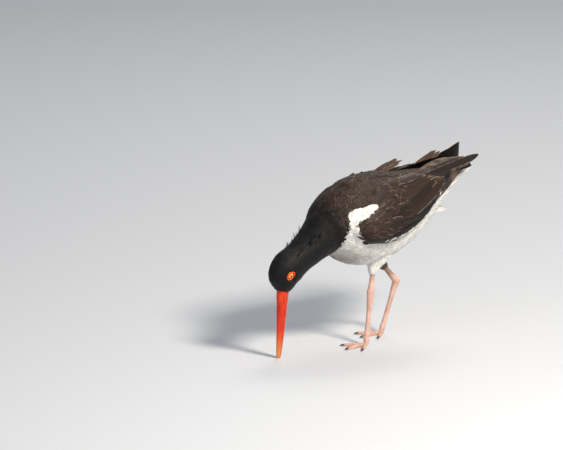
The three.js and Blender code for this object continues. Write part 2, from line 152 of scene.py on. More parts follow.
def applied(piece):
    """Puts the result of a piece's modifiers into its mesh."""
    shape = bpy.data.meshes.new_from_object(piece.evaluated_get(bpy.context.evaluated_depsgraph_get()))
    piece.modifiers.clear()
    piece.data = shape
    shape.shade_smooth()
    return piece


def clad(piece, material):
    """Gives a piece smooth shading and one material."""
    piece.data.shade_smooth()
    piece.data.materials.clear()
    piece.data.materials.append(material)


def moulded(name, solids, grain, passes):
    """Fuses solids of points and faces into one smooth skin."""
    points = []
    faces = []
    for solid_points, solid_faces in solids:
        faces += [[i + len(points) for i in face] for face in solid_faces]
        points += [tuple(p) for p in solid_points]
    piece = link_mesh(name, points, faces)
    fuse = piece.modifiers.new("fuse", "REMESH")
    fuse.mode = "VOXEL"
    fuse.voxel_size = grain
    soften = piece.modifiers.new("soften", "SMOOTH")
    soften.factor = 0.5
    soften.iterations = passes
    return applied(piece)


def swollen_copy(node):
    """Merged points and faces of a solid, grown a little so that neighbours fuse."""
    shape = bmesh.new()
    shape.from_mesh(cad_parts[node].data)
    bmesh.ops.remove_doubles(shape, verts=shape.verts, dist=1e-6)
    shape.normal_update()
    points = [v.co + v.normal * SWELL for v in shape.verts]
    faces = [[v.index for v in f.verts] for f in shape.faces]
    shape.free()
    return points, faces


def coat_depth(points):
    """How far the skin lies inside the solids; outside them on face and neck, where the coat is thin."""
    return np.interp(points[:, 1] / MM, [20, 45, 80], [-0.9, -0.8, 0.1]) * MM


def vertex_values(mesh, name):
    """The places ("co") or normals ("normal") of a mesh's points."""
    flat = np.empty(len(mesh.vertices) * 3)
    mesh.vertices.foreach_get(name, flat)
    return flat.reshape(-1, 3)


def move_points(mesh, points):
    mesh.vertices.foreach_set("co", points.ravel())
    mesh.update()


def unit(vectors):
    return vectors / np.maximum(np.linalg.norm(vectors, axis=-1, keepdims=True), 1e-12)


def through(points, samples=241):
    """A smooth curve through points, in even steps of its parameter."""
    points = np.array(points, dtype=float)
    points = np.vstack([2 * points[0] - points[1], points, 2 * points[-1] - points[-2]])
    result = np.empty((samples, points.shape[1]))
    spans = len(points) - 3
    for i in range(samples):
        u = i / (samples - 1) * spans
        k = min(int(u), spans - 1)
        t = u - k
        p0, p1, p2, p3 = points[k:k + 4]
        result[i] = 0.5 * (2 * p1 + (p2 - p0) * t + (2 * p0 - 5 * p1 + 4 * p2 - p3) * t * t
                           + (3 * p1 - p0 - 3 * p2 + p3) * t ** 3)
    return result


def tube_faces(steps, sides):
    """Faces of a closed tube of steps + 1 rings, with an end face at each end."""
    faces = []
    for start in range(0, steps * sides, sides):
        for k in range(sides):
            a, b = start + k, start + (k + 1) % sides
            faces.append((a, b, b + sides, a + sides))
    return faces + [tuple(range(sides))[::-1], tuple(range(steps * sides, steps * sides + sides))]


class Swept:
    """A body swept along stations of x, y, z, up, down, side and tilt; angle 0 is outward and 90 is up."""

    def __init__(self, stations, side):
        table = through(stations) * np.array([MM * side, MM, MM, MM, MM, MM, 1])
        self.u = np.linspace(0, 1, len(table))
        self.centre = table[:, :3]
        self.sizes = table[:, 3:6]
        along = unit(np.gradient(self.centre, axis=0))
        tilt = np.radians(table[:, 6])
        upright = np.column_stack([-side * np.sin(tilt), np.zeros(len(table)), np.ones(len(table))])
        across = unit(np.cross(along, unit(upright)))
        across *= np.sign(across[:, :1] * side)
        lifted = unit(np.cross(across, along))
        self.across = across
        self.upward = lifted * np.sign((lifted * upright).sum(1))[:, None]

    def read(self, table, u):
        return np.stack([np.interp(u, self.u, table[:, k]) for k in range(table.shape[1])], -1)

    def point(self, u, angle, grow=0.0):
        angle = np.radians(angle)
        sizes = self.read(self.sizes, u)
        rise = np.sin(angle)
        tall = np.where(rise > 0, sizes[..., 0], sizes[..., 1]) + grow
        wide = sizes[..., 2] + grow
        return (self.read(self.centre, u) + self.read(self.across, u) * (np.cos(angle) * wide)[..., None]
                + self.read(self.upward, u) * (rise * tall)[..., None])

    def outward(self, u, angle):
        turned = self.point(u, angle + 2) - self.point(u, angle - 2)
        along = self.point(np.minimum(u + 0.01, 1), angle) - self.point(np.maximum(u - 0.01, 0), angle)
        out = unit(np.cross(turned, along))
        facing = (out * (self.point(u, angle) - self.read(self.centre, u))).sum(-1, keepdims=True)
        return out * np.where(facing < 0, -1, 1)

    def shell(self, grow):
        """Closed points and faces of the swept body."""
        u, angle = np.meshgrid(np.linspace(0, 1, WING_STEPS + 1), np.arange(WING_SIDES) * 360 / WING_SIDES,
                               indexing="ij")
        return self.point(u, angle, grow).reshape(-1, 3), tube_faces(WING_STEPS, WING_SIDES)


ARMS = {word: Swept(WING, side) for word, side in SIDES.items()}
arm_shells = {word: arm.shell(WING_SINK) for word, arm in ARMS.items()}
solids = [swollen_copy(node) for node in FLESH]
solids += [arm.shell(WING_SINK + SWELL) for arm in ARMS.values()]
skin = moulded("skin", solids, SKIN_GRAIN, passes=5)
skin_points = vertex_values(skin.data, "co")
skin_points -= vertex_values(skin.data, "normal") * (coat_depth(skin_points) + SWELL)[:, None]
move_points(skin.data, skin_points)

BLACK = np.array([0.0052, 0.0048, 0.0048])
BROWN = np.array([0.030, 0.0160, 0.0100])
DARK_BROWN = np.array([0.0115, 0.0075, 0.0058])
# Painted shade: the dark brown given to the far thigh, which lies in the body's shadow
THIGH_SHADE_BROWN = np.array([0.10, 0.068, 0.052])
WHITE = np.array([0.78, 0.755, 0.71])
# Painted shade: the grey-brown that darkens the white breast low at the front, under the body
BREAST_SHADE_GREY = np.array([0.15, 0.118, 0.092])


def ramp(value, low, high):
    t = np.clip((value - low) / (high - low), 0, 1)
    return t * t * (3 - 2 * t)


def blend(a, b, t):
    return a * (1 - t)[:, None] + b * t[:, None]


def on_arm(points):
    """How far points stand from the arm of the wing on their side."""
    gaps = np.empty(len(points))
    for word, side in SIDES.items():
        chosen = np.flatnonzero(points[:, 0] * side >= 0)
        shell_points, shell_faces = arm_shells[word]
        tree = BVHTree.FromPolygons(shell_points.tolist(), shell_faces)
        gaps[chosen] = [tree.find_nearest(p)[3] for p in points[chosen].tolist()]
    return gaps


def hook_top(y):
    return np.interp(y, [70, 76, 86, 101, 118], [163, 165.5, 169.5, 173.6, 175])


def hooked(y, z, ragged=0.0):
    """The white hook that reaches up from the belly before the wing, 1 inside it."""
    front = np.interp(z, [126, 130, 138, 146, 152, 157, 161, 167, 172],
                      [101, 98, 93, 87, 87, 89.5, 98.5, 108, 119])
    top = hook_top(y) + 0.5 * ragged
    return ramp(top - z, -0.5, 0.5) * ramp(front - y - 0.7 * ragged, -0.5, 0.5)


def plumage(points, ragged=0.0):
    """The bird's markings: sooty head and breast, brown back and wings, and white below.

    A white hook reaches up before the wing, painted shade greys the breast's white low at the front, and
    painted shade darkens the far thigh."""
    x, y, z = points.T / MM
    tones = (WHITE, BREAST_SHADE_GREY, THIGH_SHADE_BROWN, BLACK, DARK_BROWN, BROWN)
    white, breast_shade_grey, thigh_shade_brown, black, dark, brown = (np.tile(tone, (len(points), 1)) for tone in tones)
    wave = 0.9 * np.sin(z * 0.55 + 1.3) + 0.7 * np.sin(z * 0.23 + np.abs(x) * 0.3) + ragged
    edge = 76 + 0.15 * (z - 130) + wave
    hood = 1 - ramp(y, edge - 1, edge + 1)
    over = ramp(z - hook_top(y) - 0.5 * ragged, -0.5, 0.5)
    browner = ramp(y + 0.45 * (z - 165) + 2.5 * ragged, 42, 92)
    mantle = blend(blend(black, dark, ramp(browner, 0, 0.6)), brown, ramp(browner, 0.3, 1.0) * 0.85)
    # Painted shade: the white breast is greyed low at the front, where the body's underside is in shadow
    painted_breast_shade = (1 - ramp(z + 2.5 * ragged, 100, 128)) * (1 - ramp(y, 80, 130)) * 0.9
    flank = blend(white, breast_shade_grey, painted_breast_shade)
    arm = 1 - ramp(on_arm(points) / MM, 2.6, 3.1)
    flank = blend(flank, brown * 0.8, arm * (1 - hooked(y, z, ragged)))
    # Painted shade on the low feathers of the far thigh, in the body's shadow
    flank = blend(flank, thigh_shade_brown, (x < -3) * (1 - ramp(z, 88, 98)) * ramp(y, 140, 150))
    return blend(flank, mantle, np.maximum(over, hood))


def unwrapped(points):
    """Places as way along the spine and angle round it, each from 0 to 1, and the spine's heading there."""
    starts, ends = SPINE[:-1], SPINE[1:]
    steps = ends - starts
    lengths = np.linalg.norm(steps, axis=1)
    reach = np.concatenate([[0], np.cumsum(lengths)])
    flat = points[:, 1:]
    t = np.clip(((flat[:, None] - starts) * steps).sum(2) / lengths ** 2, 0, 1)
    gaps = np.linalg.norm(flat[:, None] - (starts + steps * t[..., None]), axis=2)
    nearest = gaps.argmin(1)
    pick = np.arange(len(points))
    part = t[pick, nearest]
    foot = starts[nearest] + steps[nearest] * part[:, None]
    away = flat - foot
    heading = steps[nearest] / lengths[nearest][:, None]
    over = away[:, 1] * heading[:, 0] - away[:, 0] * heading[:, 1]
    angle = np.arctan2(points[:, 0], over) / (2 * np.pi) + 0.5
    along = (reach[nearest] + part * lengths[nearest]) / reach[-1]
    return np.stack([0.01 + 0.98 * along, 0.01 + 0.98 * angle], 1), heading


def set_uv(mesh, name, places):
    corners = np.empty(len(mesh.loops), dtype=np.int64)
    mesh.loops.foreach_get("vertex_index", corners)
    mesh.uv_layers.new(name=name).data.foreach_set("uv", places[corners].ravel())


def set_colour(mesh, colours, fringe):
    """The markings, with how pale the feather's edge is as the fourth value."""
    layer = mesh.color_attributes.new("plumage", "FLOAT_COLOR", "POINT")
    layer.data.foreach_set("color", np.column_stack([colours, fringe]).ravel())


class Tone:
    """A value in a material; arithmetic on it adds Math nodes."""

    def __init__(self, finish, socket):
        self.finish = finish
        self.socket = socket

    def maths(self, operation, *values):
        return self.finish.node("Math", {"operation": operation}, dict(enumerate(values)))

    def __add__(self, other):
        return self.maths("ADD", self, other)

    def __radd__(self, other):
        return self.maths("ADD", other, self)

    def __sub__(self, other):
        return self.maths("SUBTRACT", self, other)

    def __rsub__(self, other):
        return self.maths("SUBTRACT", other, self)

    def __mul__(self, other):
        return self.maths("MULTIPLY", self, other)

    def __rmul__(self, other):
        return self.maths("MULTIPLY", other, self)

    def __truediv__(self, other):
        return self.maths("DIVIDE", self, other)

    def __rtruediv__(self, other):
        return self.maths("DIVIDE", other, self)

    def __abs__(self):
        return self.maths("ABSOLUTE", self)

    def sine(self):
        return self.maths("SINE", self)

    def between(self, low, high):
        """0 below low, 1 above high, and smooth between."""
        return self.finish.node("MapRange", {"interpolation_type": "SMOOTHSTEP"}, {0: self, 1: low, 2: high})


class Finish:
    """A material made in code, with one Principled shader."""

    def __init__(self, name, **constants):
        self.material = bpy.data.materials.new(name)
        self.material.use_nodes = True
        self.tree = self.material.node_tree
        self.shader = self.tree.nodes["Principled BSDF"]
        self.use(**constants)

    def join(self, value, socket):
        if isinstance(value, Tone):
            self.tree.links.new(value.socket, socket)
        else:
            socket.default_value = value

    def node(self, kind, settings, values, output=0):
        """Any node: its settings first, then the values or links of its sockets."""
        node = self.tree.nodes.new("ShaderNode" + kind)
        for key, value in settings.items():
            setattr(node, key, value)
        for key, value in values.items():
            self.join(value, node.inputs[key])
        return Tone(self, node.outputs[output])

    def split(self, kind, value):
        """The three parts of a vector (XYZ) or a colour (Color)."""
        first = self.node("Separate" + kind, {}, {0: value})
        return [Tone(self, first.socket.node.outputs[k]) for k in range(3)]

    def mix(self, a, b, factor):
        """Colour a where the factor is 0 and b where it is 1."""
        a, b = (colour if isinstance(colour, Tone) else (*colour, 1) for colour in (a, b))
        return self.node("Mix", {"data_type": "RGBA"}, {0: factor, 6: a, 7: b}, 2)

    def noise(self, place, scale, detail=3.0):
        return self.node("TexNoise", {}, {"Vector": place, "Scale": scale, "Detail": detail})

    def place(self):
        return self.node("TexCoord", {}, {}, "Object")

    def stretched(self, place, scale):
        return self.node("Mapping", {}, {"Vector": place, "Scale": scale})

    def relief(self, height, strength, distance):
        return self.node("Bump", {}, {"Height": height, "Strength": strength, "Distance": distance})

    def use(self, **values):
        """Sets or links sockets of the shader, named with _ for a space."""
        for name, value in values.items():
            self.join(value, self.shader.inputs[name.replace("_", " ")])


# Feathers take their marking from the attribute, and a pale worn edge, a shaft and barbs from their own map
feathery = Finish("feathers", Sheen_Weight=0.02, Sheen_Roughness=0.4, Specular_IOR_Level=0.22)
marks, fringe = (feathery.node("VertexColor", {"layer_name": "plumage"}, {}, output) for output in (0, 1))
across, along, _ = feathery.split("XYZ", feathery.node("UVMap", {"uv_map": "Vane"}, {}))
off_shaft = abs(across * 2 - 1)
place = feathery.place()
patches = feathery.noise(place, 160)
wear = feathery.noise(place, 900)
edge = (off_shaft.between(0.62, 1.0) + along.between(0.84, 1.0) * 0.6).between(0.3, 1.0)
frayed = feathery.noise(place, 110, 2).between(0.34, 0.58)
fringed = feathery.mix(marks, (0.34, 0.235, 0.17), edge * fringe * frayed * (0.35 + patches * 1.2))
dark = 1 - feathery.split("Color", marks)[0].between(0.25, 0.5)
shafted = feathery.mix(fringed, (0, 0, 0), (1 - off_shaft.between(0.0, 0.12)) * 0.35 * dark)
worn = feathery.mix(shafted, (0.005, 0.004, 0.003), wear.between(0.5, 0.85) * (0.05 + dark * 0.35))
barbs = (along * 60 + off_shaft * 26).sine()
feathery.use(Base_Color=worn, Roughness=0.52 + (wear - 0.5) * 0.25,
             Normal=feathery.relief(barbs, 0.35, 0.00015))

clad(skin, feathery.material)
set_colour(skin.data, plumage(skin_points) * 0.8, np.zeros(len(skin_points)))
set_uv(skin.data, "OFBake", unwrapped(skin_points)[0])
set_uv(skin.data, "Vane", np.full((len(skin_points), 2), 0.4))
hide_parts(*FLESH)
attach(skin, "root")


# Body feathers: small overlapping vanes that run from the bill back to the tail and down the thighs.
# They are hair-fine on the face, short on the neck, round and broad on the back and soft on the belly.
# Seeded places to choose from; most are too close to one already taken
CANDIDATES = 110000
# The skin round each eye is bare
EYE_PLACE = np.array([16.0, 6.4, 99.0]) * MM
EYE_CLEARANCE = 6.0 * MM
# Outlines of a vane as pairs of place along it and share of its full width
ROUND = ((0, 0.40), (0.3, 0.86), (0.62, 1.0), (0.88, 0.72), (1.0, 0.22))
POINTED = ((0, 0.6), (0.45, 1.0), (1.0, 0.06))
# Share of the coat's map that one vane takes
VANE_MAP_SIZE = 0.003
rng = np.random.default_rng(7)


def vanes(paths, outward, widths, colours, fringe, places, outline=ROUND, columns=3, thick=0.16, camber=0.10):
    """Closed thin vanes, each along a path of three points with its outward directions."""
    count = len(paths)
    t, share = np.array(outline).T
    weights = np.stack([2 * t * t - 3 * t + 1, 4 * t - 4 * t * t, 2 * t * t - t], 1)
    slopes = np.stack([4 * t - 3, 4 - 8 * t, 4 * t - 1], 1)
    centre = np.einsum("rk,nkc->nrc", weights, paths)
    along = unit(np.einsum("rk,nkc->nrc", slopes, paths))
    out = unit(np.einsum("rk,nkc->nrc", weights, outward))
    across = unit(np.cross(along, out))
    out = unit(np.cross(across, along))
    upper = np.linspace(-1, 1, columns)
    s = np.concatenate([upper, upper[-2:0:-1]])
    face = np.concatenate([np.ones(columns), -np.ones(columns - 2)])
    half = widths[:, None] / 2 * share * rng.uniform(0.92, 1.08, (count, len(t)))
    drop = -camber * half[..., None] * s * s * 2
    plate = thick * MM * face * (1 - np.abs(s)) * (0.3 + 0.7 * share[:, None])
    points = (centre[:, :, None] + across[:, :, None] * (half[..., None] * s)[..., None]
              + out[:, :, None] * (drop + plate)[..., None])
    rows, ring = len(t), len(s)
    one = []
    for r in range(rows - 1):
        for k in range(ring):
            a, b = r * ring + k, r * ring + (k + 1) % ring
            one.append((a, b, b + ring, a + ring))
    last = (rows - 1) * ring
    for k in range(columns - 1):
        below, below_next = (ring - k) % ring, ring - k - 1
        one.append((below, below_next, k + 1, k))
        one.append((last + k, last + k + 1, last + below_next, last + below))
    size = rows * ring
    faces = (np.array(one)[None] + (np.arange(count) * size)[:, None, None]).reshape(-1, 4)
    local = np.stack(np.broadcast_arrays((s * 0.5 + 0.5)[None], t[:, None]), 2).reshape(-1, 2)
    return {
        "points": points.reshape(-1, 3),
        "faces": faces,
        "vane": np.tile(local, (count, 1)),
        "place": (places[:, None] + (local - 0.5)[None] * VANE_MAP_SIZE).reshape(-1, 2),
        "colour": np.repeat(colours, size, axis=0),
        "fringe": np.repeat(fringe, size),
    }


def coat_piece(name, rows, nodes=()):
    """Joins rows of vanes into one mesh with its maps and markings."""
    starts = np.cumsum([0] + [len(row["points"]) for row in rows[:-1]])
    faces = np.concatenate([row["faces"] + start for row, start in zip(rows, starts)])
    points, places, vane_places, colours, pale = (
        np.concatenate([row[key] for row in rows]) for key in ("points", "place", "vane", "colour", "fringe"))
    mesh = bpy.data.meshes.new(name)
    mesh.from_pydata(points.tolist(), [], [tuple(dict.fromkeys(face)) for face in faces.tolist()])
    mesh.shade_smooth()
    mesh.set_sharp_from_angle(angle=math.radians(70))
    set_uv(mesh, "OFBake", places)
    set_uv(mesh, "Vane", vane_places)
    set_colour(mesh, colours, pale)
    mesh.materials.append(feathery.material)
    piece = bpy.data.objects.new(name, mesh)
    bpy.context.collection.objects.link(piece)
    if nodes:
        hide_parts(*nodes)
    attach(piece, "root")


def surface(mesh):
    """A mesh's triangles, and a tree that finds its nearest point."""
    mesh.calc_loop_triangles()
    corners = np.empty(len(mesh.loop_triangles) * 3, dtype=np.int64)
    mesh.loop_triangles.foreach_get("vertices", corners)
    corners = corners.reshape(-1, 3)
    return corners, BVHTree.FromPolygons(vertex_values(mesh, "co").tolist(), corners.tolist())


def scattered(points, corners, count, spacing):
    """Seeded places on a surface, no two closer than the spacing there."""
    a, b, c = (points[corners[:, k]] for k in range(3))
    areas = np.linalg.norm(np.cross(b - a, c - a), axis=1)
    want = areas / spacing((a + b + c) / 3) ** 2
    pick = rng.choice(len(corners), count, p=want / want.sum())
    r1, r2 = np.sqrt(rng.random(count)), rng.random(count)
    spots = a[pick] * (1 - r1)[:, None] + b[pick] * (r1 * (1 - r2))[:, None] + c[pick] * (r1 * r2)[:, None]
    normals = unit(np.cross(b - a, c - a))[pick]
    near = spacing(spots)
    cell = near.max()
    offsets = list(itertools.product((-1, 0, 1), repeat=3))
    taken = {}
    kept = []
    for i, (p, gap) in enumerate(zip(spots.tolist(), near.tolist())):
        x, y, z = (int(value // cell) for value in p)
        around = (q for dx, dy, dz in offsets for q in taken.get((x + dx, y + dy, z + dz), ()))
        if all(math.dist(p, q) >= gap for q in around):
            taken.setdefault((x, y, z), []).append(p)
            kept.append(i)
    return spots[kept], normals[kept]


def combed(tree, spots, normals, heading, lengths, lifts, sink):
    """Paths that follow the surface along the lie, root sunk and tip lifted."""
    flow = unit(heading - normals * (heading * normals).sum(1)[:, None])
    paths = np.empty((len(spots), 3, 3))
    outward = np.empty_like(paths)
    paths[:, 0] = spots - normals * sink[:, None]
    outward[:, 0] = normals
    for k, (reach, rise) in enumerate(((0.5, 0.45), (1.0, 1.0)), 1):
        ahead = spots + flow * (lengths * reach)[:, None]
        for i, p in enumerate(ahead.tolist()):
            found, normal, _, _ = tree.find_nearest(p)
            paths[i, k] = found
            outward[i, k] = normal
        outward[:, k] = unit(outward[:, k] + normals * 0.5)
        paths[:, k] += outward[:, k] * (lifts * rise)[:, None]
    return paths, outward


def feather_spacing(points):
    """Distance between feathers: least on the face, most on the lower back, and fine on the thighs."""
    y, z = points[:, 1:].T / MM
    size = np.interp(y, [0, 20, 45, 75, 110, 200, 250], [1.1, 1.3, 1.6, 2.1, 2.5, 3.0, 2.7])
    thigh = (z < 104) & (y > 115)
    return np.where(thigh, 1.9, size) * MM


skin_corners, skin_tree = surface(skin.data)
spots, normals = scattered(skin_points, skin_corners, CANDIDATES, feather_spacing)

# The wing's own feathers cover its flesh, except where the white hook crosses its front
x, y, z = spots.T / MM
before_wing = y < 84 + 0.9 * np.clip(z - 128, 0, 60)
kept = (on_arm(spots) > 1.9 * MM) | before_wing
kept &= np.linalg.norm(np.abs(spots) - EYE_PLACE, axis=1) > EYE_CLEARANCE
kept |= (hooked(y, z, 2.0) > 0) & (y < 124)
spots, normals = spots[kept], normals[kept]
count = len(spots)
x, y, z = spots.T / MM

# The lie: back along the spine, a little outward, and down on the thighs
places, spine_heading = unwrapped(spots)
heading = np.column_stack([np.zeros(count), spine_heading])
heading[:, 0] += 0.12 * np.sign(x) * (y > 30)
down_leg = ramp(-z, -112, -100) * (y > 110) * (np.abs(x) > 6)
heading = blend(heading, np.tile([0, -0.15, -1.0], (count, 1)), down_leg)
heading += rng.normal(0, 0.10, heading.shape)

# Sizes: loose long tufts at the vent, and a few that stand up from the nape
gap = feather_spacing(spots)
bright = plumage(spots).mean(1)
length = gap * rng.uniform(2.7, 3.7, count)
width = gap * np.where(y < 50, 1.25, 1.9)
lift = gap * rng.uniform(0.06, 0.26, count)
vent = ramp(y, 196, 226) * (1 - ramp(z, 152, 172)) * (bright > 0.3)
lift += vent * rng.uniform(0, 3.5, count) * MM
length += vent * rng.uniform(1, 9.0, count) * MM
nape = (y > 14) & (y < 46) & (normals[:, 1] < -0.2) & (normals[:, 2] > 0.3) & (rng.random(count) < 0.10)
lift += nape * rng.uniform(1.5, 5.0, count) * MM
length += nape * rng.uniform(1.5, 5.0, count) * MM
paths, outward = combed(skin_tree, spots, normals, heading, length, lift, 0.3 * gap)

# Each feather has the colour of the marking under its outer half, and brown ones have pale edges
shown = paths[:, 1] * 0.4 + paths[:, 2] * 0.6
colours = plumage(shown, rng.normal(0, 0.8, count)) * rng.uniform(0.8, 1.15, (count, 1))
# Dark feathers vary more in brightness at random: partly their own tone, partly painted glints of sun on
# single feathers
colours = np.where(colours < 0.1, colours * rng.uniform(0.6, 1.7, (count, 1)), colours)
brownish = (colours[:, 0] > 0.014) & (colours[:, 0] < 0.1)
pale_edge = np.where(brownish, 1.3 * rng.random(count) ** 2, 0)

on_leg = down_leg > 0.5
fine = (y < 62) | on_leg
COATS = (("coat_head", fine & (y < 34), POINTED, "black_feathers"),
         ("coat_neck", fine & (y >= 34) & ~on_leg, POINTED, "black_feathers"),
         ("coat_thighs", on_leg, POINTED, "white_feathers"),
         ("coat_body", ~fine, ROUND, "white_feathers"))
for name, chosen, outline, slot in COATS:
    feathers = vanes(paths[chosen], outward[chosen], width[chosen], colours[chosen], pale_edge[chosen],
                     places[chosen], outline, thick=0.07, camber=0.07)
    coat_piece(name, [feathers])


# Gape: a wedge of short black feathers that runs down on the bill over the root of the mouth.
# They lie flat on the horn on both sides.
GAPE_COUNT = 70


def feather_row(roots, middles, ends, facing, width, colour, fringe, place, **shape):
    """Vanes from roots to ends, widths in millimetres; a value given once serves the whole row."""
    count = len(roots)
    outward = np.repeat(np.broadcast_to(facing, (count, 3))[:, None], 3, axis=1)
    places = np.column_stack([np.broadcast_to(value, count) for value in place])
    return vanes(np.stack([roots, middles, ends], 1), outward, np.broadcast_to(width, count) * MM,
                 np.broadcast_to(colour, (count, 3)), np.broadcast_to(fringe, count), places, **shape)


down, over = rng.random((GAPE_COUNT, 2)).T
side = np.where(np.arange(GAPE_COUNT) % 2 == 0, 1, -1)
flat = np.zeros(GAPE_COUNT)
drop = 6.5 * down * (1 - 0.3 * down)
spreading = (over - 0.5) * 7.5 * (1 - down)
root = np.column_stack([side * 6.0, 6.8 + spreading, 91.5 - drop])
end = np.column_stack([side * 6.9, 6.6 + spreading * 0.7, 88.0 - drop])
middle = (root + end) / 2 + np.column_stack([side * 0.3, flat, flat])
facing = np.column_stack([side * 1.0, flat, flat + 0.1])
gape = feather_row(root * MM, middle * MM, end * MM, facing, 1.3, BLACK, 0,
                   (0.02 + 0.01 * down, 0.5 + 0.2 * side), outline=POINTED, thick=0.10)
coat_piece("coat_gape", [gape])


# Wings: folded, with tiers of coverts over the flight feathers, on a thin arm that hugs the body.
# Dark brown feathers with worn tan edges, black along the lower edge, and blackish tips past the tail.
# Outlines of the flight feathers and the coverts, as pairs of place along them and share of their width
BLADE = ((0, 0.5), (0.15, 0.8), (0.35, 0.95), (0.55, 1), (0.75, 0.98), (0.88, 0.86), (0.96, 0.6), (1, 0.2))
PRIMARY = ((0, 0.5), (0.15, 0.85), (0.35, 1), (0.55, 1), (0.75, 0.88), (0.88, 0.62), (0.96, 0.36), (1, 0.1))
COVERT = ((0, 0.45), (0.25, 0.85), (0.5, 1.0), (0.75, 0.96), (0.9, 0.7), (1.0, 0.25))
# The longest feather of each hand, and the step from each feather's end to the next one's; the far hand is
# held higher, and shows its dark underside
HANDS = {
    "left": {"bend": (20, 262, 196), "tip": (19, 295.5, 205), "step": (0, -3.8, -1.6), "width": 9.0,
             "tone": 1.9, "fringe": 0.55, "outline": PRIMARY},
    "right": {"bend": (-20, 260, 196), "tip": (-19, 299, 213), "step": (0, -0.4, -2.0), "width": 10.5,
              "tone": 0.6, "fringe": 0.1, "outline": BLADE},
}
# Feathers that stand up from the far wing, from root to tip
LIFTED = (((-19, 160, 188), (-14, 195, 208)), ((-18, 154, 189), (-15, 189, 206)),
          ((-18, 166, 190), (-13, 199, 205)), ((-18, 222, 188), (-14, 257, 210)),
          ((-17, 218, 189), (-15, 252, 207)), ((-17, 226, 190), (-13, 261, 207)),
          ((-24, 118, 184), (-20, 137, 196)))
LIFTED_TUFT = 5
# Coverts, from the longest tier to the shoulder: count, from and to along the wing, from and to round it,
# reach along it, width, rise, brownness and pale edge
TIERS = ((14, 0.15, 0.50, -54, 0, 0.22, 12, 1.2, 0.15, 0.3),
         (16, 0.13, 0.46, -48, 14, 0.17, 9.5, 1.3, 0.4, 0.45),
         (18, 0.12, 0.42, -46, 26, 0.14, 8, 1.3, 0.6, 0.6),
         (20, 0.11, 0.38, -46, 36, 0.12, 7, 1.3, 0.8, 0.7),
         (22, 0.10, 0.35, -46, 44, 0.105, 6.2, 1.3, 0.9, 0.8),
         (22, 0.09, 0.31, -48, 50, 0.09, 5.6, 1.3, 1, 0.8),
         (22, 0.08, 0.27, -50, 54, 0.08, 5.2, 1.2, 1, 0.8),
         (22, 0.07, 0.23, -52, 58, 0.07, 5, 1.1, 1, 0.8))
# Shoulder feathers, from the rear tier forward: from and to along the wing, and the angle of their middle
SHOULDER = ((0.42, 0.62, 58), (0.34, 0.56, 64), (0.27, 0.50, 60), (0.21, 0.44, 66), (0.16, 0.38, 64),
            (0.11, 0.31, 72), (0.07, 0.25, 76))
SHOULDER_COUNT = 9
ROOT_SINK = 0.8
FEATHER_ROLL = math.radians(7)


def spread(count, low, high, jitter=0.0):
    return np.linspace(low, high, count) + rng.uniform(-jitter, jitter, count)


def wing_row(wing, side, roots, tips, width, lift, colour, fringe, **shape):
    """One tier of feathers, each from its root to its tip as (u, angle) on the wing.

    Feathers that would lie over the white hook are left out, except along the wing's lower edge."""
    count = len(roots[0])
    paths = np.empty((count, 3, 3))
    out = np.empty_like(paths)
    for k, (t, level) in enumerate(((0, -ROOT_SINK), (0.5, lift * 0.55), (1, lift))):
        u = roots[0] + (tips[0] - roots[0]) * t
        angle = roots[1] + (tips[1] - roots[1]) * t
        out[:, k] = wing.outward(u, angle)
        height = level * MM * rng.uniform(0.85, 1.15, count)
        paths[:, k] = wing.point(u, angle) + out[:, k] * height[:, None]
    along = unit(paths[:, 2] - paths[:, 0])
    sideways = np.cross(along, out[:, 1])
    out += (sideways * math.tan(FEATHER_ROLL) * side)[:, None]
    on_hook = np.zeros(count, dtype=bool)
    for t in (0.2, 0.5, 0.8, 1.0):
        y, z = (paths[:, 0] * (1 - t) + paths[:, 2] * t).T[1:] / MM
        for dy, dz in ((0, 0), (0, 3), (0, -3), (-3, 0)):
            on_hook |= hooked(y + dy, z + dz) > 0.5
    tones = colour * rng.uniform(0.6, 1.35, (count, 1))
    pale = fringe * 1.3 * rng.random(count) ** 1.6
    places = np.column_stack([0.5 + 0.45 * roots[0], 0.5 + side * (roots[1] % 360) / 800])
    seen = ~on_hook | (roots[1] < -50)
    widths = np.full(count, width) * MM
    return vanes(paths[seen], unit(out[seen]), widths[seen], tones[seen], pale[seen], places[seen], **shape)


def blade_face(side):
    """The direction that the blades of the flight feathers face."""
    return unit(np.array([side * 0.86, -0.1, 0.5]))


def hand_feathers(wing, word, side):
    """Flight feathers of the hand, dark with thin pale edges, fanned below the longest one."""
    hand = HANDS[word]
    face = blade_face(side)
    bend, tip, step = (np.array(hand[key]) * MM for key in ("bend", "tip", "step"))
    n = np.arange(9)
    under = -face * (0.32 * n * MM)[:, None]
    root = wing.point(np.full(9, 0.72), 46 - 13.0 * n) - face * 1.2 * MM + under * 0.3
    middle = bend + np.array([0, 0, 3.0 * MM]) + n[:, None] * np.array([0, -1.0, -1.9]) * MM + under
    end = tip + n[:, None] * step + under
    tones = DARK_BROWN * hand["tone"] * (0.6 + 0.7 * (n % 2))[:, None]
    return feather_row(root, middle, end, face, hand["width"], tones, hand["fringe"],
                       (spread(9, 0.9, 0.95), 0.5 + side * 0.3),
                       outline=hand["outline"], columns=5, thick=0.2, camber=0.03)


def inner_hand_feathers(side):
    """Inner ones of the hand, striped, lying up over the rump; the far hand's end lower."""
    n = np.arange(7)
    root = np.column_stack([side * (17 - 2.0 * n), 196 + 3.0 * n, 190 + 0.4 * n]) * MM
    end = np.column_stack([side * (15 - 1.9 * n), 276 - 2.5 * n, 204.5 - 0.2 * n]) * MM
    if side < 0:
        end += np.array([0, -12, -3]) * MM
    middle = (root + end) / 2 + np.array([0, 0, 1.5]) * MM
    face = unit(np.array([side * 0.6, -0.35, 0.75]))
    tones = BROWN * (0.45 + 0.6 * (n % 2))[:, None]
    return feather_row(root, middle, end, face, 8.5, tones, 0.55, (spread(7, 0.85, 0.9), 0.5 + side * 0.25),
                       outline=PRIMARY, columns=5, thick=0.2, camber=0.03)


